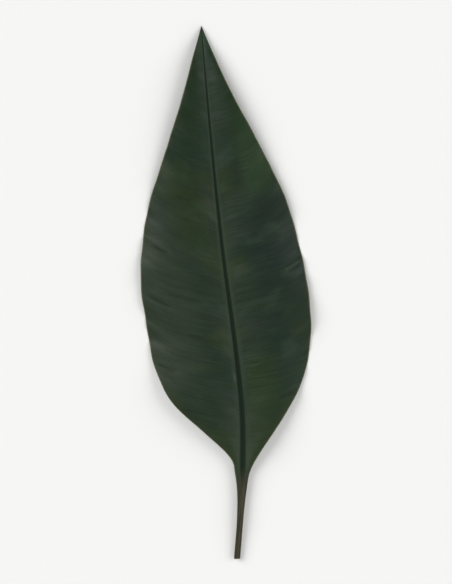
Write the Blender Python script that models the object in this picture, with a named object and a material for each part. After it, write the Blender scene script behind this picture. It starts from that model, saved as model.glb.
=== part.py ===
"""A banana leaf as picked, lying face up: blade, midrib and leaf stalk, grown as one piece.

Run it with: blender --background --python part.py
Metres, +Z up. +Y runs along the leaf towards its tip, +X to its right half, and the origin is
at the centre of the leaf's box, on the surface that the leaf lies on.
"""

import math

import bmesh
import bpy
import numpy as np
from mathutils import Vector

MM = 0.001

# Driving dimensions of the whole leaf.
BLADE_LENGTH = 314 * MM
STALK_LENGTH = 60 * MM
HALF_WIDTH = 61 * MM
BLADE_THICKNESS = 0.5 * MM
STALK_EDGE_THICKNESS = 0.8 * MM
STALK_ROUNDING = 1.3 * MM  # how much lower the stalk's face is at its sides than in its middle
STALK_JOIN = 0.14  # the share of the blade's length over which stalk and blade change over
CAMBER_SHARE = 0.085  # how far each half bulges upwards, as a share of its width
MARGIN_FALL = 1.6  # the power with which a half turns down towards its margin
NEVER_NARROWER = 0.5 * MM

# Each profile below is a list of (place, value). A place is a share of the blade's length:
# 0 where the blade meets the stalk, 1 at the tip, and below 0 on the stalk.
STALK_END = -STALK_LENGTH / BLADE_LENGTH

# The midrib's sideways bend, in millimetres: the tip leans to the left.
MIDRIB_BEND = (
    (STALK_END, -3.8), (-0.1, -1.6), (0.0, 0.0), (0.13, -0.2), (0.27, -4.6),
    (0.5, -14.1), (0.79, -23.4), (1.0, -28.9),
)
# The distance from midrib to margin, as a share of HALF_WIDTH.
LEFT_OUTLINE = (
    (STALK_END, 0.033), (-0.09, 0.036), (-0.035, 0.055), (0.0, 0.084), (0.03, 0.125),
    (0.09, 0.43), (0.15, 0.765), (0.21, 0.92), (0.35, 1.0), (0.47, 0.96), (0.6, 0.79),
    (0.72, 0.53), (0.84, 0.28), (0.93, 0.12), (0.975, 0.04), (1.0, 0.0),
)
RIGHT_OUTLINE = (
    (STALK_END, 0.033), (-0.09, 0.036), (-0.035, 0.052), (0.0, 0.078), (0.03, 0.145),
    (0.09, 0.345), (0.15, 0.555), (0.21, 0.74), (0.27, 0.845), (0.37, 0.925), (0.5, 0.9),
    (0.6, 0.81), (0.72, 0.58), (0.84, 0.3), (0.93, 0.12), (0.975, 0.04), (1.0, 0.0),
)
# Heights of the margins' upper edge over the table, in millimetres. They rest on it where this
# is less than the blade's thickness.
LEFT_MARGIN = (
    (0.0, 5.6), (0.12, 9.4), (0.22, 5.0), (0.31, 0.3), (0.4, 3.6), (0.47, 4.0), (0.56, 0.3),
    (0.66, 4.6), (0.76, 8.2), (0.86, 10.0), (0.94, 8.0), (1.0, 0.8),
)
RIGHT_MARGIN = (
    (0.0, 5.6), (0.06, 8.0), (0.12, 7.4), (0.2, 2.6), (0.27, 0.3), (0.36, 5.4), (0.44, 3.4),
    (0.51, 0.3), (0.61, 5.0), (0.71, 7.0), (0.81, 10.6), (0.91, 8.6), (1.0, 0.8),
)
# The midrib, in millimetres: how far its underside is lifted off the table (below 0 where its
# own weight flattens it), its half-width, its depth and the depth of the channel on the face.
RIB_LIFT = (
    (STALK_END, -0.3), (-0.1, 1.3), (-0.02, 0.8), (0.07, -0.4), (0.3, -0.4), (0.5, -0.35),
    (0.62, 0.9), (0.78, 4.6), (0.9, 6.0), (0.97, 3.2), (1.0, -0.1),
)
RIB_HALF_WIDTH = ((STALK_END, 2.2), (0.0, 2.8), (0.3, 2.2), (0.6, 1.5), (0.9, 0.8), (1.0, 0.5))
RIB_DEPTH = ((STALK_END, 3.9), (0.0, 4.3), (0.3, 3.4), (0.6, 2.3), (0.9, 1.1), (1.0, 0.8))
CHANNEL_DEPTH = (
    (STALK_END, 0.4), (-0.05, 0.8), (0.1, 1.3), (0.4, 1.0), (0.7, 0.6), (0.9, 0.3), (1.0, 0.1),
)

# Long, low swells across each half: (waves over the blade's length, slant, phase, millimetres).
SWELLS = ((4.0, 1.4, 0.6, 0.9), (7.0, 2.6, 2.1, 0.5), (11.0, 3.1, 4.0, 0.28))

# The grid that the leaf is shaped from. Columns count from the midrib to a margin.
COLUMNS = 11
RIB_COLUMNS = 4
STALK_ROWS = 8
BLADE_ROWS = 60
EVEN_ROWS = 0.6  # the share of their spacing that is even; the rest crowds them at both ends

# The block under the table's surface reaches well past the leaf on every side.
TABLE_CUTTER_WIDTH = 600 * MM
TABLE_CUTTER_LENGTH = 1200 * MM
TABLE_CUTTER_DEPTH = 20 * MM

LEAF_GREEN = (0.026, 0.041, 0.025, 1.0)
LEAF_ROUGHNESS = 0.5


def along(points, place):
    """The height of a smooth curve through the points at a place: cubic pieces that share tangents."""
    x, y = np.array(points, float).T
    secants = np.diff(y) / np.diff(x)
    tangents = np.concatenate([secants[:1], (secants[:-1] + secants[1:]) / 2, secants[-1:]])
    i = int(np.clip(np.searchsorted(x, place) - 1, 0, len(x) - 2))
    step = x[i + 1] - x[i]
    t = float(np.clip((place - x[i]) / step, 0.0, 1.0))
    start = (1 + 2 * t) * (1 - t) ** 2 * y[i] + t * (1 - t) ** 2 * step * tangents[i]
    end = t * t * (3 - 2 * t) * y[i + 1] - t * t * (1 - t) * step * tangents[i + 1]
    return float(start + end)


def smooth_step(t):
    """0 to 1 with no corner at either end."""
    t = min(max(t, 0.0), 1.0)
    return t * t * (3 - 2 * t)


def row_places():
    """Where the grid's rows lie along the leaf, closer together at both ends of the blade."""
    stalk = [STALK_END * (1 - row / STALK_ROWS) for row in range(STALK_ROWS)]
    evenly = [row / BLADE_ROWS for row in range(BLADE_ROWS + 1)]
    return stalk + [EVEN_ROWS * t + (1 - EVEN_ROWS) * (1 - math.cos(math.pi * t)) / 2 for t in evenly]


def on_stalk(place):
    """1 on the stalk and 0 on the blade, with a smooth change where they meet."""
    return smooth_step(0.5 - place / STALK_JOIN)


def half_width(place, side):
    """The distance from the midrib to the left (side -1) or right (side 1) margin."""
    outline = LEFT_OUTLINE if side < 0 else RIGHT_OUTLINE
    return max(HALF_WIDTH * along(outline, place), NEVER_NARROWER)


def rib_half_width(place, width):
    """The midrib's half-width, which at the tip is the whole leaf's."""
    return min(along(RIB_HALF_WIDTH, place) * MM, width)


def distance_out(place, share, side):
    """How far from the midrib's middle a column lies; share is 0 there and 1 at the margin.

    Columns crowd where the midrib's underside is steep. On the stalk, they all share its width.
    """
    width = half_width(place, side)
    rib_share = RIB_COLUMNS / COLUMNS
    rib = min(rib_half_width(place, width), width * rib_share)
    if share <= rib_share:
        on_blade = rib * math.sin(share / rib_share * math.pi / 2)
    else:
        on_blade = rib + (width - rib) * (share - rib_share) / (1 - rib_share)
    across_stalk = width * math.sin(share * math.pi / 2)
    return on_blade + (across_stalk - on_blade) * on_stalk(place)


def thickness(place, distance, side):
    """The leaf's thickness: a thin blade, and beneath it a midrib of half-elliptical section.

    The channel on the face is left out of the midrib's thickness, so that the underside is round.
    """
    edge = BLADE_THICKNESS + (STALK_EDGE_THICKNESS - BLADE_THICKNESS) * on_stalk(place)
    channel = along(CHANNEL_DEPTH, place) * MM
    across = min(distance / rib_half_width(place, half_width(place, side)), 1.0)
    rib = max(along(RIB_DEPTH, place) * MM + channel - edge, 0.0)
    return edge + rib * math.sqrt(1 - across * across) - channel * (1 - smooth_step(across))


def upper_height(place, distance, side):
    """The height of the leaf's face: channel, bulging half, margin that rises and falls."""
    width = half_width(place, side)
    rib = rib_half_width(place, width)
    out = max(distance - rib, 0.0) / max(width - rib, MM)
    middle = (along(RIB_LIFT, place) + along(RIB_DEPTH, place)) * MM
    channel = along(CHANNEL_DEPTH, place) * MM
    margin = along(LEFT_MARGIN if side < 0 else RIGHT_MARGIN, place) * MM
    height = middle + channel * smooth_step(distance / rib)
    height += (margin - middle - channel) * out**MARGIN_FALL
    bulge = 4 * out * (1 - out)
    height += CAMBER_SHARE * width * bulge
    for waves, slant, phase, depth in SWELLS:
        angle = 2 * math.pi * waves * place - slant * out + phase + side
        height += depth * MM * (width / HALF_WIDTH) * bulge * math.sin(angle)
    round_side = 1 - math.sqrt(max(1 - (distance / width) ** 2, 0.0))
    return height - STALK_ROUNDING * on_stalk(place) * round_side


def leaf_material():
    """The satin dark green of a preserved leaf."""
    material = bpy.data.materials.new("leaf_green")
    material.use_nodes = True
    shader = material.node_tree.nodes["Principled BSDF"]
    shader.inputs["Base Color"].default_value = LEAF_GREEN
    shader.inputs["Roughness"].default_value = LEAF_ROUGHNESS
    shader.inputs["Metallic"].default_value = 0.0
    return material


def leaf_body():
    """The leaf as a closed mesh: a flat grid and its extruded underside, moved to their shapes."""
    places = row_places()
    mesh = bpy.data.meshes.new("banana_leaf")
    bm = bmesh.new()
    bmesh.ops.create_grid(bm, x_segments=2 * COLUMNS, y_segments=len(places) - 1, size=1.0)
    extruded = bmesh.ops.extrude_face_region(bm, geom=bm.faces[:], use_keep_orig=True)
    underside = {thing for thing in extruded["geom"] if isinstance(thing, bmesh.types.BMVert)}
    for vertex in bm.verts:
        place = places[round((vertex.co.y + 1) / 2 * (len(places) - 1))]
        side = -1 if vertex.co.x < 0 else 1
        distance = distance_out(place, abs(vertex.co.x), side)
        height = upper_height(place, distance, side)
        if vertex in underside:
            height -= thickness(place, distance, side)
        middle = along(MIDRIB_BEND, place) * MM
        vertex.co = (middle + side * distance, place * BLADE_LENGTH, height)
    bmesh.ops.recalc_face_normals(bm, faces=bm.faces[:])
    bm.to_mesh(mesh)
    bm.free()
    return bpy.data.objects.new("banana_leaf", mesh)


def table_cutter():
    """A block under the table's surface: it flattens the few places that the leaf rests on."""
    bpy.ops.mesh.primitive_cube_add(size=1.0, location=(0, 0, -TABLE_CUTTER_DEPTH / 2))
    cutter = bpy.context.object
    cutter.name = "table_cutter"
    cutter.scale = (TABLE_CUTTER_WIDTH, TABLE_CUTTER_LENGTH, TABLE_CUTTER_DEPTH)
    cutter.hide_render = True
    cutter.display_type = "WIRE"
    return cutter


def centre_on_origin(leaf):
    """Moves the leaf along the table until its box is centred on the origin."""
    bpy.context.view_layer.update()
    box = leaf.evaluated_get(bpy.context.evaluated_depsgraph_get()).bound_box
    lowest = [min(corner[axis] for corner in box) for axis in range(2)]
    highest = [max(corner[axis] for corner in box) for axis in range(2)]
    leaf.location = Vector([-(a + b) / 2 for a, b in zip(lowest, highest)] + [0.0])


def build():
    """Clears the scene and builds the leaf as one solid."""
    for thing in list(bpy.data.objects):
        bpy.data.objects.remove(thing, do_unlink=True)
    leaves = bpy.data.collections.new("banana_leaf")
    cutters = bpy.data.collections.new("cutters")
    for collection in (leaves, cutters):
        bpy.context.scene.collection.children.link(collection)
    cutters.hide_render = True

    leaf = leaf_body()
    leaves.objects.link(leaf)
    leaf.data.materials.append(leaf_material())
    leaf.data.shade_smooth()

    cutter = table_cutter()
    for collection in list(cutter.users_collection):
        collection.objects.unlink(cutter)
    cutters.objects.link(cutter)
    rest = leaf.modifiers.new("flat_where_it_rests", "BOOLEAN")
    rest.operation = "DIFFERENCE"
    rest.object = cutter
    centre_on_origin(leaf)


build()
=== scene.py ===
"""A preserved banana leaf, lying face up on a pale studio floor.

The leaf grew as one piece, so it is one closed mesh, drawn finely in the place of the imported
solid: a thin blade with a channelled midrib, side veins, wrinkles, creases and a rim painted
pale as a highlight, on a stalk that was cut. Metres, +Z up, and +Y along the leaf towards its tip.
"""

import logging
import math
from dataclasses import dataclass
from enum import Enum

import bpy
import numpy as np
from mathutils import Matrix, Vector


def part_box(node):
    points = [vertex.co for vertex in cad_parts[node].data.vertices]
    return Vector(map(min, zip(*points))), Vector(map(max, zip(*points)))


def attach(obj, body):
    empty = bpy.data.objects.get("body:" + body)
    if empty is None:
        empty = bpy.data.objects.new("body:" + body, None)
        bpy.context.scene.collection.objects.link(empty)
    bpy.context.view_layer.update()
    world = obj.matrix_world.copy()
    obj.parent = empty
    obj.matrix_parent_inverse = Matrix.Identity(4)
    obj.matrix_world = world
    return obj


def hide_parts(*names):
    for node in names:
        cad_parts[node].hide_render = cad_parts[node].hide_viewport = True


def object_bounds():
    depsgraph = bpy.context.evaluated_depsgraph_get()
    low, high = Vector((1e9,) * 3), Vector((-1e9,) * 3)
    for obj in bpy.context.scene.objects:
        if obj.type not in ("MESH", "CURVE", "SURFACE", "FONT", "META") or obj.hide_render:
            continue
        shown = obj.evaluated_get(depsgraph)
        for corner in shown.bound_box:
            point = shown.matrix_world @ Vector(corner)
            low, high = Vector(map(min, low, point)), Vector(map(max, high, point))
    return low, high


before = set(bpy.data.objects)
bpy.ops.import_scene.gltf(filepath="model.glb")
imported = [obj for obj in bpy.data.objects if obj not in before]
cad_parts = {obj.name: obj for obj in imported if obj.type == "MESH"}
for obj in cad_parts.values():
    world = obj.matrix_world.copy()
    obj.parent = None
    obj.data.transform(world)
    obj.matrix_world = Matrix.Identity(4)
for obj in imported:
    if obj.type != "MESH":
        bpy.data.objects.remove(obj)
cad_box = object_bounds()

logging.basicConfig(level=logging.INFO, format="%(name)s: %(message)s")
log = logging.getLogger("banana_leaf")

MM = 0.001
LEAF_NODE = "banana_leaf"
# The values that the leaf's mesh carries for its finish to follow.
MEASURES = (
    "across_mm", "vein_mm", "margin_mm", "rib_share", "tip_mm", "on_stalk", "vein", "crease",
    "underside",
)
MIX_A = 6  # a Mix node's colour inputs and output, which share their names with other sockets
MIX_B = 7
MIX_RESULT = 2

Points = tuple[tuple[float, float], ...]
Colour = tuple[float, float, float, float]
Tree = bpy.types.NodeTree
Socket = bpy.types.NodeSocket
Sockets = dict[str, Socket]
Inputs = dict[str | int, Socket | float | tuple[float, ...]]


class Half(Enum):
    """The two halves of the blade, by the sign of the way out from the midrib."""

    LEFT = -1
    RIGHT = 1


def linear(colour: str) -> Colour:
    """An sRGB hex colour as linear red, green, blue and alpha.

    The sRGB curve is a straight line for the darkest shares and a power of 2.4 above them.

    Args:
        colour: Six hex digits after a hash sign.

    Returns:
        The four values that a colour socket takes.
    """
    shares = [int(colour[i : i + 2], 16) / 255 for i in (1, 3, 5)]
    values = [c / 12.92 if c <= 0.04045 else ((c + 0.055) / 1.055) ** 2.4 for c in shares]
    return (*values, 1.0)


def connect(tree: Tree, node: bpy.types.Node, inputs: Inputs) -> None:
    """Links a node's inputs to sockets, or sets them.

    Args:
        tree: The node tree that the node is in.
        node: The node.
        inputs: For each input, by name or number, the socket to link or the value to set.
    """
    for name, value in inputs.items():
        if isinstance(value, Socket):
            tree.links.new(value, node.inputs[name])
        else:
            node.inputs[name].default_value = value


def add_node(tree: Tree, kind: str, output: str | int, inputs: Inputs, **settings: str) -> Socket:
    """Adds a shader node with its settings, values and links.

    Args:
        tree: The node tree that it goes in.
        kind: The node's type without the word ShaderNode.
        output: Which of its outputs is wanted, by name or number.
        inputs: For each input, by name or number, the socket to link or the value to set.
        **settings: The node's own properties.

    Returns:
        The output that is wanted.
    """
    node = tree.nodes.new("ShaderNode" + kind)
    for name, value in settings.items():
        setattr(node, name, value)
    connect(tree, node, inputs)
    return node.outputs[output]


def blank_material(name: str) -> tuple[bpy.types.Material, Tree, bpy.types.Node]:
    """A new material, its node tree and its shader.

    Args:
        name: The material's name.

    Returns:
        The three of them, in that order.
    """
    made = bpy.data.materials.new(name)
    made.use_nodes = True
    return made, made.node_tree, made.node_tree.nodes["Principled BSDF"]


def smooth_step(value: np.ndarray, start: float = 0.0, end: float = 1.0) -> np.ndarray:
    """Goes from 0 to 1 with no corner at either end: 3t² - 2t³.

    Args:
        value: What the change follows.
        start: The value up to which the result is 0.
        end: The value from which it is 1.

    Returns:
        0 to 1 for each value.
    """
    t = np.clip((value - start) / (end - start), 0.0, 1.0)
    return t * t * (3 - 2 * t)


@dataclass(frozen=True)
class Profile:
    """A smooth curve through a few (place, value) points.

    Each stretch is the cubic that has the stretch's two end values, and at each point the mean
    of the slopes on its two sides.
    """

    points: Points

    def at(self, place: np.ndarray) -> np.ndarray:
        """The curve's values.

        Args:
            place: Where along the leaf, 0 at the blade's base and 1 at its tip.

        Returns:
            One value for each place.
        """
        x, y = np.array(self.points, float).T
        secants = np.diff(y) / np.diff(x)
        tangents = np.concatenate([secants[:1], (secants[:-1] + secants[1:]) / 2, secants[-1:]])
        i = np.clip(np.searchsorted(x, place) - 1, 0, len(x) - 2)
        step = x[i + 1] - x[i]
        t = np.clip((place - x[i]) / step, 0.0, 1.0)
        start = (1 + 2 * t) * (1 - t) ** 2 * y[i] + t * (1 - t) ** 2 * step * tangents[i]
        return start + t * t * (3 - 2 * t) * y[i + 1] - t * t * (1 - t) * step * tangents[i + 1]


BLADE_LENGTH = 314 * MM
STALK_END = -60 * MM / BLADE_LENGTH  # a place, as Profile has them: 0 at the blade's base


@dataclass(frozen=True)
class Swell:
    """A long low wave over the blade: a sine along it that lags behind towards the margin."""

    waves: float  # over the blade's length
    lag: float  # radians at the margin
    phase: float
    depth: float  # mm


@dataclass(frozen=True)
class LeafSizes:
    """The leaf's driving sizes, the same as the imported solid's but for its finer tip.

    The outlines are shares of the half-width, and the other profiles are in mm.
    """

    half_width: float = 61 * MM
    blade_thickness: float = 0.5 * MM
    stalk_edge_thickness: float = 0.8 * MM
    stalk_rounding: float = 1.3 * MM
    stalk_join: float = 0.14  # the stretch in which stalk turns to blade, in blade lengths
    camber_share: float = 0.085  # the height of each half's bulge, in widths
    margin_fall: float = 1.6  # the power by which a half goes down to its margin
    tip_half_width: float = 0.07 * MM
    midrib_bend: Profile = Profile((
        (STALK_END, -3.8), (-0.1, -1.6), (0.0, 0.0), (0.13, -0.2), (0.27, -4.6), (0.5, -14.1),
        (0.79, -23.4), (1.0, -28.9),
    ))
    left_outline: Profile = Profile((
        (STALK_END, 0.033), (-0.09, 0.036), (-0.035, 0.055), (0.0, 0.084), (0.03, 0.125),
        (0.09, 0.43), (0.15, 0.765), (0.21, 0.92), (0.35, 1.0), (0.47, 0.96), (0.6, 0.79),
        (0.72, 0.53), (0.84, 0.28), (0.93, 0.12), (0.975, 0.04), (1.0, 0.0),
    ))
    right_outline: Profile = Profile((
        (STALK_END, 0.033), (-0.09, 0.036), (-0.035, 0.052), (0.0, 0.078), (0.03, 0.145),
        (0.09, 0.345), (0.15, 0.555), (0.21, 0.74), (0.27, 0.845), (0.37, 0.925), (0.5, 0.9),
        (0.6, 0.81), (0.72, 0.58), (0.84, 0.3), (0.93, 0.12), (0.975, 0.04), (1.0, 0.0),
    ))
    left_margin: Profile = Profile((
        (0.0, 5.6), (0.12, 9.4), (0.22, 5.0), (0.31, 0.3), (0.4, 3.6), (0.47, 4.0),
        (0.56, 0.3), (0.66, 4.6), (0.76, 8.2), (0.86, 10.0), (0.94, 8.0), (1.0, 0.8),
    ))
    right_margin: Profile = Profile((
        (0.0, 5.6), (0.06, 8.0), (0.12, 7.4), (0.2, 2.6), (0.27, 0.3), (0.36, 5.4),
        (0.44, 3.4), (0.51, 0.3), (0.61, 5.0), (0.71, 7.0), (0.81, 10.6), (0.91, 8.6),
        (1.0, 0.8),
    ))
    rib_lift: Profile = Profile((
        (STALK_END, -0.3), (-0.1, 1.3), (-0.02, 0.8), (0.07, -0.4), (0.3, -0.4), (0.5, -0.35),
        (0.62, 0.9), (0.78, 4.6), (0.9, 6.0), (0.97, 3.2), (1.0, -0.1),
    ))
    rib_half_width: Profile = Profile((
        (STALK_END, 2.2), (0.0, 2.8), (0.3, 2.2), (0.6, 1.5), (0.9, 0.8), (1.0, 0.5),
    ))
    rib_depth: Profile = Profile((
        (STALK_END, 3.9), (0.0, 4.3), (0.3, 3.4), (0.6, 2.3), (0.9, 1.1), (1.0, 0.8),
    ))
    channel_depth: Profile = Profile((
        (STALK_END, 0.4), (-0.05, 0.8), (0.1, 1.3), (0.4, 1.0), (0.7, 0.6), (0.9, 0.3),
        (1.0, 0.1),
    ))
    swells: tuple[Swell, ...] = (
        Swell(4.0, 1.4, 0.6, 0.9), Swell(7.0, 2.6, 2.1, 0.5), Swell(11.0, 3.1, 4.0, 0.28),
    )


@dataclass(frozen=True)
class VeinGrid:
    """The leaf's points before they have heights, by row and column, in metres.

    A row is one side vein on both halves, and the columns run from margin to margin.
    """

    side: np.ndarray  # -1 on the left half and 1 on the right
    start: np.ndarray  # where the point's side vein leaves the midrib, in mm
    place: np.ndarray  # where along the leaf the point lies, 0 at the blade's base and 1 at its tip
    width: np.ndarray  # from the midrib's middle to the margin
    rib: np.ndarray  # the midrib's half-width
    distance: np.ndarray  # from the midrib's middle to the point
    on_stalk: np.ndarray  # 1 on the stalk and 0 on the blade
    size: np.ndarray  # the width as a share of the greatest, at most 1

    @property
    def on_blade(self) -> np.ndarray:
        """0 on the stalk and 1 on the blade."""
        return 1 - self.on_stalk

    @property
    def across(self) -> np.ndarray:
        """How far each point lies from the midrib's middle, in mm, below 0 on the left."""
        return self.side * self.distance / MM

    @property
    def rib_share(self) -> np.ndarray:
        """How far each point lies from the midrib's middle, in the midrib's half-widths."""
        return self.distance / self.rib

    @property
    def out(self) -> np.ndarray:
        """How far out each point lies, 0 all over the midrib and 1 at the margin."""
        blade = np.maximum(self.width - self.rib, MM)
        return np.clip((self.distance - self.rib) / blade, 0.0, 1.0)


@dataclass(frozen=True)
class Crease:
    """A short fold pressed into the blade along its side veins.

    Its depth falls off as a bell curve across it, and softly at its two ends. Start and width
    are in mm along the midrib, and the ends are shares of the way out to the margin.
    """

    half: Half
    start: float
    inner_end: float
    outer_end: float
    width: float
    depth: float
    softness: float = 0.3  # the share of its length over which it fades at each end

    def mask(self, grid: VeinGrid) -> np.ndarray:
        """How deep the crease is at each point, as a share of its depth.

        Args:
            grid: The leaf's points.

        Returns:
            0 to 1 for each point.
        """
        across = np.exp(-(((grid.start - self.start) / self.width) ** 2))
        soft = self.softness * (self.outer_end - self.inner_end)
        inner = smooth_step(grid.out - self.inner_end, 0.0, soft)
        outer = smooth_step(self.outer_end - grid.out, 0.0, soft)
        return np.where(grid.side == self.half.value, across * inner * outer, 0.0)


@dataclass(frozen=True)
class SideVeins:
    """The side veins that show, unevenly spaced and unevenly strong. Lengths are in mm."""

    spacing: float = 5.2  # on average
    unevenness: float = 0.35
    half_width: float = 0.6
    faintest: float = 0.25
    half_shift: float = 1.9  # how far each half's veins are moved, the two in opposite ways
    seed: int = 11

    def near(self, grid: VeinGrid) -> np.ndarray:
        """How near each point is to a vein: a bell curve about the nearest one.

        Args:
            grid: The leaf's points.

        Returns:
            0 between the veins, up to the vein's own strength on it.
        """
        draw = np.random.default_rng(self.seed)
        count = int(BLADE_LENGTH / MM / self.spacing * (1 + self.unevenness))
        gaps = self.spacing * draw.uniform(1 - self.unevenness, 1 + self.unevenness, count)
        places = np.cumsum(gaps)
        strengths = draw.uniform(self.faintest, 1.0, count)
        start = grid.start + self.half_shift * grid.side
        nearest = np.round(np.interp(start, places, np.arange(count))).astype(int)
        return strengths[nearest] * np.exp(-(((start - places[nearest]) / self.half_width) ** 2))


@dataclass(frozen=True)
class Wrinkles:
    """Soft wrinkles from drying, which mostly follow the side veins."""

    height: float
    along: tuple[float, float]  # the shortest and the longest wave along the leaf, in mm
    across: tuple[float, float]  # the same across it
    waves: int
    seed: int
    patchiness: float = 0.4
    patch_breadth: float = 17.0  # mm for each radian
    patch_slant: float = 0.36
    patch_phase: float = 0.4

    def rise(self, grid: VeinGrid) -> np.ndarray:
        """The wrinkles' height.

        A sum of sines of random length and phase, short along the leaf and long across it,
        times the product of two slower ones, which leaves some patches smoother.

        Args:
            grid: The leaf's points.

        Returns:
            The height in metres.
        """
        draw = np.random.default_rng(self.seed)
        start, across = grid.start, grid.across
        total = np.zeros_like(across)
        middle = sum(self.along) / 2
        for _ in range(self.waves):
            length, breadth = draw.uniform(*self.along), draw.uniform(*self.across)
            phase, slant = draw.uniform(0.0, 2 * math.pi), draw.choice((-1.0, 1.0))
            wave = start / length + slant * across / breadth
            total += (length / middle) * np.sin(2 * math.pi * wave + phase)
        slanted = (across + self.patch_slant * start) / self.patch_breadth
        patches = np.sin(start / middle + self.patch_phase) * np.sin(slanted)
        share = 1 - self.patchiness + self.patchiness * patches
        return self.height * total * share / math.sqrt(self.waves)


@dataclass(frozen=True)
class SurfaceRelief:
    """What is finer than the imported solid: veins, wrinkles, creases and a lively margin."""

    veins: SideVeins = SideVeins()
    vein_groove: float = 0.035 * MM
    vein_ridge: float = 0.14 * MM
    vein_begins: tuple[float, float] = (0.01, 0.09)  # shares of the way out to the margin
    vein_fades: tuple[float, float] = (0.75, 1.0)
    vein_left: float = 0.3  # how much of a vein is left at the margin
    slender: float = 0.15  # the share of the half-width below which veins fade
    quilting: float = 0.03 * MM
    growth: float = 0.12  # the share of the way out over which quilting and wrinkles grow
    shoulder: float = 0.28 * MM
    shoulder_at: float = 1.15  # in half-widths of the midrib
    shoulder_breadth: float = 0.4
    frill: float = 0.55 * MM
    frill_length: float = 2.9  # mm along the margin for each radian
    frill_drift: float = 1.5  # radians
    frill_drift_length: float = 11.0
    frill_power: int = 7
    wobble: float = 0.006  # half of the most that it takes off the width, as a share
    wobble_waves: tuple[float, float] = (61.0, 23.0)  # radians over the blade's length
    wobble_full_at: float = 0.1  # the place by which it has grown from nothing
    wrinkles: tuple[Wrinkles, ...] = (
        Wrinkles(0.28 * MM, (11.0, 36.0), (28.0, 120.0), 26, 7),
        Wrinkles(0.045 * MM, (3.5, 8.0), (14.0, 60.0), 30, 19),
    )
    creases: tuple[Crease, ...] = (
        Crease(Half.LEFT, 58.0, 0.70, 0.99, 1.5, 0.45 * MM),
        Crease(Half.LEFT, 88.0, 0.30, 0.55, 1.3, 0.30 * MM),
        Crease(Half.LEFT, 104.0, 0.62, 0.98, 1.7, 0.45 * MM),
        Crease(Half.LEFT, 113.0, 0.20, 0.80, 1.9, 0.32 * MM),
        Crease(Half.LEFT, 143.0, 0.60, 0.88, 1.4, 0.45 * MM),
        Crease(Half.LEFT, 185.0, 0.32, 0.60, 1.2, 0.42 * MM),
        Crease(Half.LEFT, 231.0, 0.55, 0.96, 1.3, 0.30 * MM),
        Crease(Half.RIGHT, 47.0, 0.60, 0.98, 1.5, 0.42 * MM),
        Crease(Half.RIGHT, 73.0, 0.10, 0.32, 1.2, 0.38 * MM),
        Crease(Half.RIGHT, 128.0, 0.74, 0.99, 1.4, 0.40 * MM),
        Crease(Half.RIGHT, 166.0, 0.62, 0.99, 1.5, 0.45 * MM),
        Crease(Half.RIGHT, 205.0, 0.38, 0.64, 1.3, 0.30 * MM),
    )

    def creasing(self, grid: VeinGrid) -> tuple[np.ndarray, np.ndarray]:
        """All the creases together.

        Args:
            grid: The leaf's points.

        Returns:
            Their depth in metres, and how strongly a point lies in one, 0 to 1.
        """
        masks = [crease.mask(grid) for crease in self.creases]
        depth = sum(crease.depth * mask for crease, mask in zip(self.creases, masks))
        return depth, np.max(masks, axis=0)

    def veining(self, grid: VeinGrid) -> np.ndarray:
        """How strongly a side vein shows: it begins at the midrib and fades to the margin.

        Args:
            grid: The leaf's points.

        Returns:
            0 to 1 for each point, and 0 on the stalk.
        """
        out = grid.out
        fading = 1 - (1 - self.vein_left) * smooth_step(out, *self.vein_fades)
        shown = smooth_step(out, *self.vein_begins) * smooth_step(grid.size, 0.0, self.slender)
        return self.veins.near(grid) * fading * shown * grid.on_blade

    def growing(self, grid: VeinGrid) -> np.ndarray:
        """How far the wrinkles and the quilting have grown, 0 at the midrib and soon 1."""
        return smooth_step(grid.out, 0.0, self.growth)

    def frilling(self, grid: VeinGrid) -> np.ndarray:
        """The margin's frill: a sine along it whose pace drifts, by a high power of the way out.

        The side is added to both sines' angles, so that the halves' frills differ.

        Args:
            grid: The leaf's points.

        Returns:
            The height in metres.
        """
        drift = self.frill_drift * np.sin(grid.start / self.frill_drift_length + grid.side)
        angle = grid.start / self.frill_length + drift + grid.side
        return self.frill * grid.out**self.frill_power * np.sin(angle)

    def waving(self, grid: VeinGrid) -> np.ndarray:
        """What bends the whole blade, face and underside: its wrinkles and its frill.

        Args:
            grid: The leaf's points.

        Returns:
            The height in metres, less where the blade is narrow, and 0 on the stalk.
        """
        wrinkling = sum(wrinkles.rise(grid) for wrinkles in self.wrinkles)
        whole = wrinkling * self.growing(grid) + self.frilling(grid)
        return whole * grid.size * grid.on_blade

    def standing(self, grid: VeinGrid, vein: np.ndarray) -> np.ndarray:
        """What stands out from the face alone: low pillows between the veins, and shoulders.

        A shoulder is the ridge beside the channel, a bell curve about one distance from the
        midrib's middle. A vein is a groove.

        Args:
            grid: The leaf's points.
            vein: How strongly a side vein shows, 0 to 1.

        Returns:
            The distance out of the face in metres.
        """
        pillows = self.quilting * (1 - vein) * self.growing(grid) * grid.on_blade * grid.size
        ridge = np.exp(-(((grid.rib_share - self.shoulder_at) / self.shoulder_breadth) ** 2))
        shoulder = self.shoulder * ridge
        return pillows - self.vein_groove * vein + shoulder * grid.on_blade * np.sqrt(grid.size)


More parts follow.
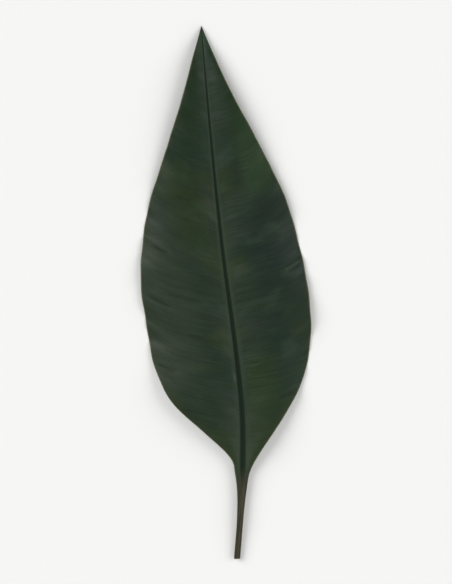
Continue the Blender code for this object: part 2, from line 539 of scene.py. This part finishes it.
@dataclass
class LeafSurface:
    """The leaf's surface as a function of two parameters: a side vein and a place along it.

    Rows follow the side veins, so that the relief can too. A row starts on the midrib and its
    points run out to both margins. On the stalk, rows run straight across.
    """

    sizes: LeafSizes
    relief: SurfaceRelief
    stalk_rows: int = 56
    blade_rows: int = 560
    rib_columns: int = 9
    blade_columns: int = 26
    margin_band: float = 0.35 * MM
    rim_bulge: float = 0.16 * MM
    full_rim_width: float = 1.2 * MM  # the half-width below which the rim's bulge shrinks too
    tip_share: float = 0.4  # of the thickness
    tip_length: float = 0.03  # in which thickness and sweep run out, in blade lengths
    sweep_rise: float = 0.05  # both how far and how quickly a side vein first rises
    sweep_line: float = 0.2
    sweep_turn: float = 0.14
    sweep_power: int = 4

    @property
    def last_column(self) -> int:
        """The number of the column on the right margin."""
        return self.rib_columns + self.blade_columns + 1

    def row_starts(self) -> np.ndarray:
        """Where each row leaves the midrib: even on the stalk, then even on the blade."""
        stalk = np.linspace(STALK_END, 0.0, self.stalk_rows, endpoint=False)
        return np.concatenate([stalk, np.linspace(0.0, 1.0, self.blade_rows + 1)])

    def on_stalk(self, place: np.ndarray) -> np.ndarray:
        """1 on the stalk and 0 on the blade, with a smooth change where they meet."""
        return smooth_step(0.5 - place / self.sizes.stalk_join)

    def width(self, place: np.ndarray, side: np.ndarray) -> np.ndarray:
        """The distance from midrib to margin: the outline, with a wobble that only goes inwards.

        The wobble is 1 plus the product of two sines. The side in their angles makes the
        halves' wobbles differ.

        Args:
            place: Where along the leaf, 0 at the blade's base and 1 at its tip.
            side: -1 on the left half and 1 on the right.

        Returns:
            The distance in metres.
        """
        sizes, relief = self.sizes, self.relief
        share = np.where(side < 0, sizes.left_outline.at(place), sizes.right_outline.at(place))
        quick, slow = relief.wobble_waves
        wave = 1 + np.sin(place * quick + side) * np.sin(place * slow + 2 * side + 1)
        share = share * (1 - relief.wobble * wave * smooth_step(place, 0.0, relief.wobble_full_at))
        return np.maximum(share * sizes.half_width, sizes.tip_half_width)

    def rib(self, place: np.ndarray, width: np.ndarray) -> np.ndarray:
        """The midrib's half-width, which at the tip is the whole leaf's."""
        return np.minimum(self.sizes.rib_half_width.at(place) * MM, width)

    def column_out(self, column: np.ndarray) -> np.ndarray:
        """How far out along its vein a column lies: 0 all over the midrib, then even to 1."""
        return np.clip((np.abs(column) - self.rib_columns) / self.blade_columns, 0.0, 1.0)

    def places(self, start: np.ndarray, column: np.ndarray, side: np.ndarray) -> np.ndarray:
        """Where along the leaf each point lies, once its vein has swept towards the tip.

        A side vein leaves the midrib at a low angle, turns outwards, and turns up again at the
        margin: the sweep is a quick rise, a straight line and a fourth power of the way out. It
        shrinks to nothing at the tip.

        Args:
            start: Where each row leaves the midrib, 0 at the blade's base and 1 at its tip.
            column: The columns' numbers, 0 on the midrib's middle and below 0 on the left.
            side: -1 on the left half and 1 on the right.

        Returns:
            The place for each row and column.
        """
        out = self.column_out(column)
        width = self.width(start, side)
        sweep = self.sweep_rise * (1 - np.exp(-out / self.sweep_rise))
        sweep = sweep + self.sweep_line * out + self.sweep_turn * out**self.sweep_power
        blade = (width - self.rib(start, width)) * (1 - self.on_stalk(start))
        return start + sweep * blade / BLADE_LENGTH * smooth_step(1 - start, 0.0, self.tip_length)

    def distances(self, place: np.ndarray, column: np.ndarray, width: np.ndarray) -> np.ndarray:
        """How far from the midrib's middle each point lies.

        Columns crowd where the midrib's underside is steep, and the last but one lies just
        inside the margin. On the stalk they all share its width, by a sine.

        Args:
            place: Where along the leaf, 0 at the blade's base and 1 at its tip.
            column: The columns' numbers, 0 on the midrib's middle and below 0 on the left.
            width: The distance from midrib to margin.

        Returns:
            The distance in metres, never below 0.
        """
        count, last = np.abs(column), self.last_column
        rib = np.minimum(self.rib(place, width), width * self.rib_columns / last)
        band = np.minimum(self.margin_band, (width - rib) / last)
        in_rib = rib * np.sin(np.minimum(count / self.rib_columns, 1.0) * math.pi / 2)
        inside = in_rib + (width - rib - band) * self.column_out(column)
        on_blade = np.where(count == last, width, inside)
        on_stalk = width * np.sin(count / last * math.pi / 2)
        return on_blade + (on_stalk - on_blade) * self.on_stalk(place)

    def grid(self) -> VeinGrid:
        """Lays out the leaf's points by row and column.

        Returns:
            The points, which have no heights yet.
        """
        column = np.arange(-self.last_column, self.last_column + 1)[None, :]
        side = np.where(column < 0, Half.LEFT.value, Half.RIGHT.value)
        start = self.row_starts()[:, None]
        place = self.places(start, column, side)
        width = self.width(place, side)
        return VeinGrid(
            side=side,
            start=start * BLADE_LENGTH / MM + np.zeros_like(place),
            place=place,
            width=width,
            rib=self.rib(place, width),
            distance=self.distances(place, column, width),
            on_stalk=self.on_stalk(place),
            size=np.minimum(width / self.sizes.half_width, 1.0),
        )

    def thickness(self, grid: VeinGrid) -> np.ndarray:
        """The thin blade, thinner at its tip, and under it the midrib: half an ellipse across.

        The channel on the face is left out of the midrib's thickness, so that the underside is
        round.

        Args:
            grid: The leaf's points.

        Returns:
            The thickness in metres.
        """
        sizes = self.sizes
        thicker = sizes.stalk_edge_thickness - sizes.blade_thickness
        edge = sizes.blade_thickness + thicker * grid.on_stalk
        channel = sizes.channel_depth.at(grid.place) * MM
        across = np.minimum(grid.rib_share, 1.0)
        below = np.maximum(sizes.rib_depth.at(grid.place) * MM + channel - edge, 0.0)
        whole = edge + below * np.sqrt(1 - across**2) - channel * (1 - smooth_step(across))
        behind_tip = smooth_step(1 - grid.place, 0.0, self.tip_length)
        return whole * (self.tip_share + (1 - self.tip_share) * behind_tip)

    def face_height(self, grid: VeinGrid) -> np.ndarray:
        """The height of the leaf's face before its relief.

        The midrib's height, a channel along it, a turn down to the margin's own rise and fall by
        a power of the way out, a bulge 4t(1 - t) in each half, and the swells on it, whose
        angles hold the side so that the halves differ. The stalk's sides fall away as a quarter
        of an ellipse.

        Args:
            grid: The leaf's points.

        Returns:
            The height in metres over the table.
        """
        sizes, place, width, out = self.sizes, grid.place, grid.width, grid.out
        middle = (sizes.rib_lift.at(place) + sizes.rib_depth.at(place)) * MM
        channel = sizes.channel_depth.at(place) * MM
        left, right = sizes.left_margin.at(place), sizes.right_margin.at(place)
        margin = np.where(grid.side < 0, left, right) * MM
        height = middle + channel * smooth_step(grid.rib_share)
        height = height + (margin - middle - channel) * out**sizes.margin_fall
        bulge = 4 * out * (1 - out)
        height = height + sizes.camber_share * width * bulge
        for swell in sizes.swells:
            angle = 2 * math.pi * swell.waves * place - swell.lag * out + swell.phase + grid.side
            depth = swell.depth * MM * (width / sizes.half_width)
            height = height + depth * bulge * np.sin(angle)
        fall = 1 - np.sqrt(np.maximum(1 - (grid.distance / width) ** 2, 0.0))
        return height - sizes.stalk_rounding * grid.on_stalk * fall

    def face(self, grid: VeinGrid, crease_depth: np.ndarray) -> np.ndarray:
        """The face's points, with all that bends the whole blade.

        Args:
            grid: The leaf's points.
            crease_depth: How deep the creases are at each point, in metres.

        Returns:
            The points by row and column.
        """
        height = self.face_height(grid) + self.relief.waving(grid) - crease_depth
        height = np.maximum(height, self.sizes.blade_thickness)  # the table bears the margins
        middle = self.sizes.midrib_bend.at(grid.place) * MM
        sideways = middle + grid.side * grid.distance
        return np.stack([sideways, grid.place * BLADE_LENGTH, height], axis=2)

    @staticmethod
    def normals(points: np.ndarray) -> np.ndarray:
        """Unit normals of a grid of points: the cross product of its two gradients.

        Args:
            points: The points by row and column.

        Returns:
            One normal for each point, out of the leaf's face.
        """
        along, across = np.gradient(points, axis=0), np.gradient(points, axis=1)
        normal = np.cross(across, along)
        return normal / np.linalg.norm(normal, axis=2, keepdims=True)

    def rims(self, grid: VeinGrid, face: np.ndarray, under: np.ndarray) -> np.ndarray:
        """The two rims: halfway between face and underside, and a little further out.

        Args:
            grid: The leaf's points.
            face: The face's points.
            under: The underside's points.

        Returns:
            The left rim's points and the right rim's, as two columns.
        """
        ends = [0, -1]
        rims = (face[:, ends] + under[:, ends]) / 2
        shrink = np.minimum(grid.width[:, ends] / self.full_rim_width, 1.0)
        rims[..., 0] += grid.side[:, ends] * self.rim_bulge * shrink
        return rims

    @staticmethod
    def ringed(face: np.ndarray, under: np.ndarray, rims: np.ndarray) -> np.ndarray:
        """Joins columns to rings: over the face, the right rim, back underneath, the left rim.

        Args:
            face: What the face has, by row and column from left to right.
            under: What the underside has, in the same order.
            rims: What the left rim has and what the right one has.

        Returns:
            The rings, one in each row.
        """
        return np.concatenate([face, rims[:, 1:], under[:, ::-1], rims[:, :1]], axis=1)

    def rings(self) -> tuple[np.ndarray, dict[str, np.ndarray]]:
        """The closed surface as rings around the leaf, from the stalk's cut end to the tip.

        Returns:
            The points by ring and place in the ring, and the values that the finish follows.
        """
        grid = self.grid()
        crease_depth, crease = self.relief.creasing(grid)
        vein = self.relief.veining(grid)
        bent = self.face(grid, crease_depth)
        normal = self.normals(bent)
        face = bent + normal * self.relief.standing(grid, vein)[..., None]
        under = bent - normal * (self.relief.vein_ridge * vein)[..., None]
        under[..., 2] = np.maximum(under[..., 2] - self.thickness(grid), 0.0)
        measures = {
            "across_mm": grid.across,
            "vein_mm": grid.start,
            "margin_mm": (grid.width - grid.distance) / MM,
            "rib_share": grid.rib_share,
            "tip_mm": (1 - grid.place) * BLADE_LENGTH / MM,
            "on_stalk": grid.on_stalk,
            "vein": vein,
            # where the creases are, which the finish darkens as painted shade
            "crease": crease,
        }
        values = {name: self.ringed(at, at, at[:, [0, -1]]) for name, at in measures.items()}
        above, below, between = np.zeros_like(vein), np.ones_like(vein), np.full_like(vein, 0.5)
        values["underside"] = self.ringed(above, below, between[:, [0, -1]])
        return self.ringed(face, under, self.rims(grid, face, under)), values


@dataclass(frozen=True)
class Gate:
    """A smooth change over the leaf, from one value of a measure to another."""

    measure: str
    none_at: float
    all_at: float

    def between(self, tree: Tree, measures: Sockets, none: Socket | float,
                all_of_it: Socket | float) -> Socket:
        """Goes from one number to another as the measure goes through the gate.

        Args:
            tree: The material's node tree.
            measures: The socket of each measure, by name.
            none: The number, or its socket, where the gate is shut.
            all_of_it: The number, or its socket, where it is open.

        Returns:
            The socket of the number.
        """
        inputs = {"Value": measures[self.measure], "To Min": none, "To Max": all_of_it}
        inputs |= {"From Min": self.none_at, "From Max": self.all_at}
        return add_node(tree, "MapRange", "Result", inputs, interpolation_type="SMOOTHSTEP")


# The gates that several coats share.
ON_STALK = Gate("on_stalk", 0.3, 0.9)
BENEATH = Gate("underside", 0.4, 0.6)
BENEATH_RIB = Gate("rib_share", 1.2, 0.8)
STREAKED = Gate("streaks", 0.40, 0.68)


@dataclass(frozen=True)
class Coat:
    """A colour over the ones before it, as strong as all its gates together let through."""

    colour: str
    strength: float
    gates: tuple[Gate, ...]

    def over(self, tree: Tree, measures: Sockets, below: Socket | Colour) -> Socket:
        """Lays the coat.

        Args:
            tree: The material's node tree.
            measures: The socket of each measure, by name.
            below: The colour under it, or its socket.

        Returns:
            The socket of the colour with the coat on it.
        """
        share = self.strength
        for gate in self.gates:
            share = gate.between(tree, measures, 0.0, share)
        inputs = {0: share, MIX_A: below, MIX_B: linear(self.colour)}
        return add_node(tree, "Mix", MIX_RESULT, inputs, data_type="RGBA")


@dataclass(frozen=True)
class Mottle:
    """Noise that lies on the leaf's own coordinates, drawn out across the leaf or along it."""

    size_mm: float
    times_across: float = 1.0
    times_along: float = 1.0
    detail: float = 2.0

    def field(self, tree: Tree, on_leaf: Socket) -> Socket:
        """Adds the noise.

        Args:
            tree: The material's node tree.
            on_leaf: The socket of the leaf's own coordinates, in mm.

        Returns:
            The socket of the noise, about 0.25 to 0.75.
        """
        across, along = self.size_mm * self.times_across, self.size_mm * self.times_along
        # The size is added to the third coordinate, so that each mottle is a slice of its own.
        inputs = {0: on_leaf, 1: (1 / across, 1 / along, 1.0), 2: (0.0, 0.0, self.size_mm)}
        place = add_node(tree, "VectorMath", "Vector", inputs, operation="MULTIPLY_ADD")
        noise = {"Vector": place, "Scale": 1.0, "Detail": self.detail}
        return add_node(tree, "TexNoise", "Fac", noise)


@dataclass(frozen=True)
class PreservedSkin:
    """Banana leaf, soaked in glycerine and dyed: a satin cuticle over dark, uneven green.

    What it gives the eye: a low grey sheen, patches that lean to blue and to olive, hair-fine
    veins across each half, a channel painted dark as shade between two flanks painted pale as
    highlights, a thin rim painted pale as a highlight, creases painted darker as shade, a fresher
    tip with a brown point, and streaks along the stalk. The underside is paler and more matt.
    """

    name: str = "preserved_leaf_satin"
    ground: str = "#0F2817"
    ior: float = 1.36
    roughness: tuple[float, float] = (0.44, 0.58)
    roughened_by: Gate = Gate("blotches", 0.3, 0.7)
    rougher: tuple[tuple[Gate, float], ...] = (  # where it is more matt, and how matt
        (Gate("rib_share", 1.0, 0.5), 0.75),
        (ON_STALK, 0.62),
        (BENEATH, 0.68),
    )
    fibre_share: float = 0.7
    bump_depth: float = 0.05 * MM
    mottles: tuple[tuple[str, Mottle], ...] = (
        ("patches", Mottle(42.0)),
        ("blotches", Mottle(7.0, times_across=4.5, detail=3.0)),
        ("clouds", Mottle(15.0, times_across=1.6, detail=3.0)),
        # Real ones lie about 0.4 mm apart, which is too fine to show.
        ("fibres", Mottle(1.1, times_across=30.0, detail=2.0)),
        ("grain", Mottle(0.9)),
        ("specks", Mottle(2.2, detail=3.0)),
        ("streaks", Mottle(0.7, times_along=25.0, detail=4.0)),
    )
    coats: tuple[Coat, ...] = (
        # The face: olive and green patches, a bluer right half, a greyer left flank, light and
        # dark clouds, and an olive base.
        Coat("#1F300D", 0.9, (Gate("patches", 0.42, 0.60),)),
        Coat("#132A10", 1.0, (Gate("blotches", 0.38, 0.75),)),
        Coat("#0C211A", 0.7, (Gate("across_mm", 4.0, 30.0), Gate("vein_mm", 60.0, 120.0),
                              Gate("vein_mm", 235.0, 170.0))),
        Coat("#2B3727", 0.7, (Gate("across_mm", -8.0, -36.0), Gate("vein_mm", 20.0, 70.0),
                              Gate("vein_mm", 210.0, 110.0))),
        Coat("#2C3D29", 0.45, (Gate("clouds", 0.50, 0.70),)),
        Coat("#0A1D0A", 0.42, (Gate("clouds", 0.47, 0.30),)),
        Coat("#2A3818", 0.6, (Gate("vein_mm", 50.0, 5.0),)),
        # Olive on the right half: a patch low beside the midrib and one high near the margin.
        Coat("#283B16", 0.6, (Gate("across_mm", 2.0, 8.0), Gate("across_mm", 34.0, 14.0),
                              Gate("vein_mm", 30.0, 52.0), Gate("vein_mm", 90.0, 66.0))),
        Coat("#2B4322", 0.6, (Gate("across_mm", 14.0, 24.0), Gate("vein_mm", 175.0, 205.0))),
        # Towards the tip: first deeper, then a fresher green where the dye took less.
        Coat("#08260D", 0.75, (Gate("tip_mm", 100.0, 50.0), Gate("tip_mm", 10.0, 24.0))),
        Coat("#28422C", 0.75, (Gate("tip_mm", 24.0, 9.0),)),
        # Fine veins, stronger in some places, then side veins, painted shade in the creases, and a
        # dried margin.
        Coat("#31422A", 0.30, (Gate("fibres", 0.52, 0.72), Gate("patches", 0.62, 0.40))),
        Coat("#061A06", 0.32, (Gate("fibres", 0.46, 0.28), Gate("clouds", 0.66, 0.38))),
        Coat("#102010", 0.30, (Gate("vein", 0.1, 1.0),)),
        # painted shade: the creases darkened where shade falls in the fold
        Coat("#0B170A", 0.35, (Gate("crease", 0.2, 1.0),)),
        Coat("#302E18", 0.50, (Gate("margin_mm", 5.0, 0.4), Gate("blotches", 0.45, 0.65))),
        Coat("#2F2816", 0.45, (Gate("specks", 0.70, 0.78),)),
        # The midrib: each flank painted pale as a highlight, and the channel painted dark as shade.
        Coat("#2A3B28", 0.6, (Gate("rib_share", 2.6, 1.2),)),
        # painted shade: the channel darkened where shade falls in it
        Coat("#021A03", 1.0, (Gate("rib_share", 1.0, 0.3),)),
        # The underside, over all of that, with its own veins and midrib.
        Coat("#36432C", 1.0, (BENEATH,)),
        Coat("#293420", 0.5, (BENEATH, Gate("blotches", 0.35, 0.7))),
        Coat("#232C1A", 0.5, (BENEATH, Gate("vein", 0.1, 1.0))),
        Coat("#4A4C30", 1.0, (BENEATH, BENEATH_RIB)),
        Coat("#353822", 0.8, (BENEATH, BENEATH_RIB, STREAKED)),
        # The stalk, the tip, and the rim painted pale as a highlight.
        Coat("#2B2B1A", 1.0, (ON_STALK,)),
        Coat("#47422D", 1.0, (ON_STALK, STREAKED)),
        Coat("#1E1810", 0.9, (Gate("tip_mm", 4.5, 1.0),)),
        # painted highlight: a thin pale line along the margin where its edge catches light
        Coat("#68704F", 0.8, (Gate("margin_mm", 0.75, 0.15), Gate("tip_mm", 8.0, 30.0),
                              Gate("on_stalk", 0.6, 0.2))),
        Coat("#000000", 0.22, (Gate("grain", 0.3, 0.7),)),
    )

    def measures(self, tree: Tree) -> Sockets:
        """Adds what the finish follows: the leaf's attributes and its noises.

        Args:
            tree: The material's node tree.

        Returns:
            A socket for each, by name.
        """
        sockets = {}
        for name in MEASURES:
            sockets[name] = add_node(tree, "Attribute", "Fac", {}, attribute_name=name)
        axes = {"X": sockets["across_mm"], "Y": sockets["vein_mm"], "Z": sockets["underside"]}
        on_leaf = add_node(tree, "CombineXYZ", "Vector", axes)
        for name, mottle in self.mottles:
            sockets[name] = mottle.field(tree, on_leaf)
        return sockets

    def material(self) -> bpy.types.Material:
        """Builds the material.

        Returns:
            The material, which follows the leaf's own attributes.
        """
        made, tree, shader = blank_material(self.name)
        measures = self.measures(tree)
        colour = linear(self.ground)
        for coat in self.coats:
            colour = coat.over(tree, measures, colour)
        rough = self.roughened_by.between(tree, measures, *self.roughness)
        for gate, roughness in self.rougher:
            rough = gate.between(tree, measures, rough, roughness)
        fibres_and_grain = {0: measures["fibres"], 1: self.fibre_share, 2: measures["grain"]}
        height = add_node(tree, "Math", "Value", fibres_and_grain, operation="MULTIPLY_ADD")
        height = ON_STALK.between(tree, measures, height, measures["streaks"])
        normal = add_node(tree, "Bump", "Normal", {"Height": height, "Distance": self.bump_depth})
        finish = {"Base Color": colour, "Roughness": rough, "Normal": normal, "IOR": self.ior}
        connect(tree, shader, finish)
        return made


@dataclass(frozen=True)
class CutStalk:
    """The stalk's end, cut with a blade: pale pith with the darker dots of its fibres."""

    name: str = "cut_stalk_end"
    pith: str = "#8C7F5C"
    fibre: str = "#463A22"
    fibre_spacing: float = 0.45 * MM
    fibre_edge: tuple[float, float] = (0.25, 0.45)  # in spacings from a fibre's middle
    roughness: float = 0.85

    def material(self) -> bpy.types.Material:
        """Builds the material, on object coordinates.

        Returns:
            The material, for the flat cut only.
        """
        made, tree, shader = blank_material(self.name)
        place = add_node(tree, "TexCoord", "Object", {})
        cells = {"Vector": place, "Scale": 1 / self.fibre_spacing}
        distance = add_node(tree, "TexVoronoi", "Distance", cells)
        dot, pith = self.fibre_edge
        edge = {"Value": distance, "From Min": dot, "From Max": pith}
        share = add_node(tree, "MapRange", "Result", edge)
        colours = {0: share, MIX_A: linear(self.fibre), MIX_B: linear(self.pith)}
        mixed = add_node(tree, "Mix", MIX_RESULT, colours, data_type="RGBA")
        connect(tree, shader, {"Base Color": mixed, "Roughness": self.roughness})
        return made


@dataclass
class Leaf:
    """The leaf itself: blade, midrib and stalk in one closed mesh."""

    surface: LeafSurface
    skin: PreservedSkin
    cut: CutStalk
    name: str = "leaf"
    sharp_angle: float = math.radians(75)

    @staticmethod
    def ring_faces(rows: int, ring: int) -> np.ndarray:
        """The faces between each ring of points and the next.

        Args:
            rows: How many rings there are.
            ring: How many points a ring has.

        Returns:
            Four corners for each face.
        """
        row = np.arange(rows - 1)[:, None] * ring
        here, beside = np.arange(ring)[None, :], (np.arange(ring)[None, :] + 1) % ring
        corners = [row + here, row + beside, row + ring + beside, row + ring + here]
        return np.stack(corners, axis=2).reshape(-1, 4)

    @staticmethod
    def cap_faces(first: int, ring: int) -> tuple[np.ndarray, np.ndarray]:
        """The flat end that closes a ring, from its face down to its underside.

        Args:
            first: The number of the ring's first point.
            ring: How many points the ring has.

        Returns:
            The faces with four corners, and the two triangles at the rims, all facing the stalk.
        """
        count = ring // 2 - 1
        upper = first + np.arange(count)
        lower = first + ring - 2 - np.arange(count)
        quads = np.stack([upper[:-1], lower[:-1], lower[1:], upper[1:]], axis=1)
        left, right = first + ring - 1, first + count
        triangles = np.array([[upper[0], left, lower[0]], [upper[-1], lower[-1], right]])
        return quads, triangles

    def build(self) -> bpy.types.Object:
        """Makes the mesh from the surface's rings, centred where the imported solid's box is.

        Returns:
            The leaf, at the origin, with its place in its mesh.
        """
        points, values = self.surface.rings()
        rows, ring = points.shape[:2]
        low, high = (np.array(corner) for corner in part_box(LEAF_NODE))
        flat = points.reshape(-1, 3)
        shift = (low + high) / 2 - (flat.min(axis=0) + flat.max(axis=0)) / 2
        shift[2] = 0.0  # it lies on the table already
        start_quads, start_triangles = self.cap_faces(0, ring)
        end_quads, end_triangles = self.cap_faces((rows - 1) * ring, ring)
        sides = self.ring_faces(rows, ring)
        faces = [*sides.tolist(), *end_quads[:, ::-1].tolist(), *end_triangles[:, ::-1].tolist()]
        cut_faces = [*start_quads.tolist(), *start_triangles.tolist()]
        mesh = bpy.data.meshes.new(self.name)
        mesh.from_pydata(flat + shift, [], faces + cut_faces)
        slots = np.zeros(len(mesh.polygons), np.int32)
        slots[len(faces):] = 1  # the second material, the cut's
        mesh.polygons.foreach_set("material_index", slots)
        for name, value in values.items():
            attribute = mesh.attributes.new(name, "FLOAT", "POINT")
            attribute.data.foreach_set("value", value.astype(np.float32).ravel())
        mesh.shade_smooth()
        mesh.set_sharp_from_angle(angle=self.sharp_angle)
        leaf = bpy.data.objects.new(self.name, mesh)
        bpy.context.scene.collection.objects.link(leaf)
        return leaf

    def dress(self, leaf: bpy.types.Object) -> None:
        """Gives the leaf its finishes and its place in the frame.

        Args:
            leaf: The leaf, as built.
        """
        leaf.data.materials.append(self.skin.material())
        leaf.data.materials.append(self.cut.material())
        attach(leaf, "root")
        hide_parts(LEAF_NODE)
        log.info("%s: %d faces", leaf.name, len(leaf.data.polygons))


@dataclass(frozen=True)
class SoftLight:
    """A large soft light, far enough away to light the leaf and all of the floor evenly."""

    name: str
    azimuth: float  # degrees, anticlockwise from the leaf's right
    elevation: float
    strength: float
    breadth: float = math.radians(44)  # how wide it looks from the floor

    def place(self) -> None:
        """Adds the light, turned towards the floor."""
        lamp = bpy.data.lights.new(self.name, "SUN")
        lamp.energy, lamp.angle = self.strength, self.breadth
        around, up = math.radians(self.azimuth), math.radians(self.elevation)
        light = bpy.data.objects.new(self.name, lamp)
        light.rotation_euler = (math.pi / 2 - up, 0.0, around + math.pi / 2)
        bpy.context.scene.collection.objects.link(light)


@dataclass(frozen=True)
class Studio:
    """A pale floor, soft lights from low around the leaf and a camera that looks down on it."""

    floor_colour: str = "#F4F4F2"
    floor_side: float = 14.0
    floor_gap: float = 0.05 * MM
    floor_roughness: float = 0.9
    sky_colour: str = "#FFFFFF"
    sky_light: float = 0.245
    sky_seen: float = 0.9
    lens: float = 100.0
    sensor: float = 36.0
    fill_share: float = 0.92
    lights: tuple[SoftLight, ...] = (
        SoftLight("key_light", 150.0, 38.0, 1.92),
        SoftLight("fill_light", 15.0, 34.0, 1.24),
        SoftLight("front_light", -80.0, 36.0, 0.95),
    )

    def floor(self) -> None:
        """Lays the floor just under the leaf."""
        bpy.ops.mesh.primitive_plane_add(size=self.floor_side, location=(0.0, 0.0, -self.floor_gap))
        floor = bpy.context.object
        floor.name = "floor"
        material, tree, shader = blank_material("matt_floor_paper")
        paper = {"Base Color": linear(self.floor_colour), "Roughness": self.floor_roughness}
        connect(tree, shader, paper | {"Specular IOR Level": 0.0})
        floor.data.materials.append(material)

    def sky(self) -> None:
        """A pale room: dimmer as light than as what the camera sees past the floor's edge."""
        world = bpy.data.worlds.new("pale_room")
        world.use_nodes = True
        tree = world.node_tree
        seen = add_node(tree, "LightPath", "Is Camera Ray", {})
        inputs = {"Value": seen, "To Min": self.sky_light, "To Max": self.sky_seen}
        strength = add_node(tree, "MapRange", "Result", inputs)
        light = {"Color": linear(self.sky_colour), "Strength": strength}
        connect(tree, tree.nodes["Background"], light)
        bpy.context.scene.world = world

    def camera(self) -> None:
        """Hangs the camera over the leaf's middle, looking straight down, and far enough off.

        Its distance makes the leaf's long side fill the wanted share of the picture's height.
        """
        low, high = (np.array(corner) for corner in cad_box)
        centre, size = (low + high) / 2, high - low
        shown = size[1] / self.fill_share
        data = bpy.data.cameras.new("camera")
        data.lens, data.sensor_width, data.sensor_fit = self.lens, self.sensor, "AUTO"
        camera = bpy.data.objects.new("camera", data)
        camera.location = (centre[0], centre[1], high[2] + shown * self.lens / self.sensor)
        camera.rotation_euler = (0.0, 0.0, 0.0)
        bpy.context.scene.collection.objects.link(camera)
        bpy.context.scene.camera = camera

    def build(self) -> None:
        """Sets up floor, room, lights and camera."""
        self.floor()
        self.sky()
        for light in self.lights:
            light.place()
        self.camera()
        bpy.context.scene.view_settings.view_transform = "Standard"
        log.info("studio: %d soft lights", len(self.lights))


def main() -> None:
    """Builds the leaf, then the studio around it."""
    leaf = Leaf(LeafSurface(LeafSizes(), SurfaceRelief()), PreservedSkin(), CutStalk())
    leaf.dress(leaf.build())
    Studio().build()


if __name__ == "__main__":
    main()
